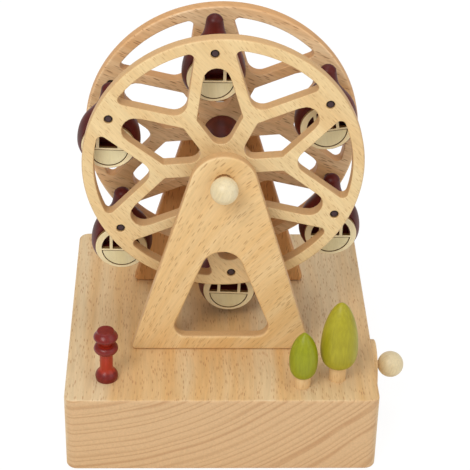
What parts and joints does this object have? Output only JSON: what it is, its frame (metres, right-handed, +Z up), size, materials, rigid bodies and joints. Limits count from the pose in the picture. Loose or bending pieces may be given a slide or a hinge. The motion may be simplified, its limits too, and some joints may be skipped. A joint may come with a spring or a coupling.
{
  "type": "crank ferris wheel toy",
  "caption": "Wooden ferris wheel toy on a block base, turned by a side crank through a belt, with hanging gondolas, a turned post and trees",
  "frame": {"origin": "middle of the base's underside, which stands on the floor", "axes": "+X to the right, where the crank is, +Y to the back, +Z up, seen from the front"},
  "size_m": [0.128, 0.114, 0.1581],
  "materials": {
    "beech_block": "beech, end grain on the front",
    "beech_board": "beech board, fine grain",
    "beech_warm": "beech board, warmer grain",
    "pale_plywood": "pale veneer plate",
    "pale_ball": "smooth pale turned beech",
    "beech_dowel": "plain dowel",
    "dark_stain": "dark red-brown stain, satin",
    "dark_dowel": "nearly black stained dowel end",
    "red_lacquer": "red-brown lacquer, glossy",
    "green_light": "olive green lacquer",
    "green_dark": "olive green lacquer",
    "white_nylon": "moulded gear and pulley",
    "belt_rubber": "round belt",
    "screw_steel": "zinc plated screw"
  },
  "bodies": {
    "stand": {"base_block": "beech_block", "base_panel": "beech_block", "base_panel_screws": "screw_steel", "crank_bearing_block": "beech_dowel", "cross_shaft_bearing_blocks": "beech_dowel", "drive_belt": "belt_rubber", "front_a_frame": "beech_board", "rear_a_frame": "beech_board", "a_frame_dowels": "beech_dowel", "red_post": "red_lacquer", "small_tree_trunk": "beech_dowel", "small_tree_crown": "green_dark", "large_tree_trunk": "beech_dowel", "large_tree_crown": "green_light"},
    "wheel": {"wheel_axle": "beech_dowel", "front_wheel": "beech_board", "rear_wheel": "beech_warm", "hub_barrel": "dark_stain", "axle_collar": "beech_dowel", "axle_pulley": "white_nylon", "front_axle_ball": "pale_ball", "rear_axle_ball": "pale_ball", "gondola_pin_1": "dark_dowel", "gondola_pin_2": "dark_dowel", "gondola_pin_3": "dark_dowel", "gondola_pin_4": "dark_dowel", "gondola_pin_5": "dark_dowel", "gondola_pin_6": "dark_dowel"},
    "crank": {"crank_shaft": "beech_dowel", "crank_disc": "beech_dowel", "crank_knob": "pale_ball", "knob_pin": "beech_dowel", "crank_bevel_gear": "white_nylon"},
    "cross_shaft": {"cross_shaft": "beech_dowel", "cross_shaft_bevel_gear": "white_nylon", "cross_shaft_pulley": "white_nylon"},
    "gondola_1": {"gondola_body_1": "dark_stain", "gondola_fascias_1": "pale_plywood", "gondola_half_moons_1": "pale_plywood"},
    "gondola_2": {"gondola_body_2": "dark_stain", "gondola_fascias_2": "pale_plywood", "gondola_half_moons_2": "pale_plywood"},
    "gondola_3": {"gondola_body_3": "dark_stain", "gondola_fascias_3": "pale_plywood", "gondola_half_moons_3": "pale_plywood"},
    "gondola_4": {"gondola_body_4": "dark_stain", "gondola_fascias_4": "pale_plywood", "gondola_half_moons_4": "pale_plywood"},
    "gondola_5": {"gondola_body_5": "dark_stain", "gondola_fascias_5": "pale_plywood", "gondola_half_moons_5": "pale_plywood"},
    "gondola_6": {"gondola_body_6": "dark_stain", "gondola_fascias_6": "pale_plywood", "gondola_half_moons_6": "pale_plywood"}
  },
  "joints": [
    {"name": "wheel_spin", "type": "hinge", "parent": "stand", "child": "wheel", "pos_m": [0, 0, 0.105], "axis": [0, 1, 0], "continuous": true},
    {"name": "cross_shaft_spin", "type": "hinge", "parent": "stand", "child": "cross_shaft", "pos_m": [0, -0.017, 0.016], "axis": [0, 1, 0], "continuous": true},
    {"name": "crank_turn", "type": "hinge", "parent": "stand", "child": "crank", "pos_m": [0.0579, -0.017, 0.016], "axis": [1, 0, 0], "continuous": true},
    {"name": "gondola_1_turn", "type": "hinge", "parent": "wheel", "child": "gondola_1", "pos_m": [-0.00364, 0.0014, 0.15025], "axis": [0, 1, 0], "continuous": true},
    {"name": "gondola_2_turn", "type": "hinge", "parent": "wheel", "child": "gondola_2", "pos_m": [0.03737, 0.0014, 0.13078], "axis": [0, 1, 0], "continuous": true},
    {"name": "gondola_3_turn", "type": "hinge", "parent": "wheel", "child": "gondola_3", "pos_m": [0.04101, 0.0014, 0.08553], "axis": [0, 1, 0], "continuous": true},
    {"name": "gondola_4_turn", "type": "hinge", "parent": "wheel", "child": "gondola_4", "pos_m": [0.00364, 0.0014, 0.05975], "axis": [0, 1, 0], "continuous": true},
    {"name": "gondola_5_turn", "type": "hinge", "parent": "wheel", "child": "gondola_5", "pos_m": [-0.03737, 0.0014, 0.07922], "axis": [0, 1, 0], "continuous": true},
    {"name": "gondola_6_turn", "type": "hinge", "parent": "wheel", "child": "gondola_6", "pos_m": [-0.04101, 0.0014, 0.12447], "axis": [0, 1, 0], "continuous": true}
  ],
  "couplings": [
    {"joint": "cross_shaft_spin", "follows": "wheel_spin", "ratio": 2},
    {"joint": "crank_turn", "follows": "wheel_spin", "ratio": -2},
    {"joint": "gondola_1_turn", "follows": "wheel_spin", "ratio": -1},
    {"joint": "gondola_2_turn", "follows": "wheel_spin", "ratio": -1},
    {"joint": "gondola_3_turn", "follows": "wheel_spin", "ratio": -1},
    {"joint": "gondola_4_turn", "follows": "wheel_spin", "ratio": -1},
    {"joint": "gondola_5_turn", "follows": "wheel_spin", "ratio": -1},
    {"joint": "gondola_6_turn", "follows": "wheel_spin", "ratio": -1}
  ]
}
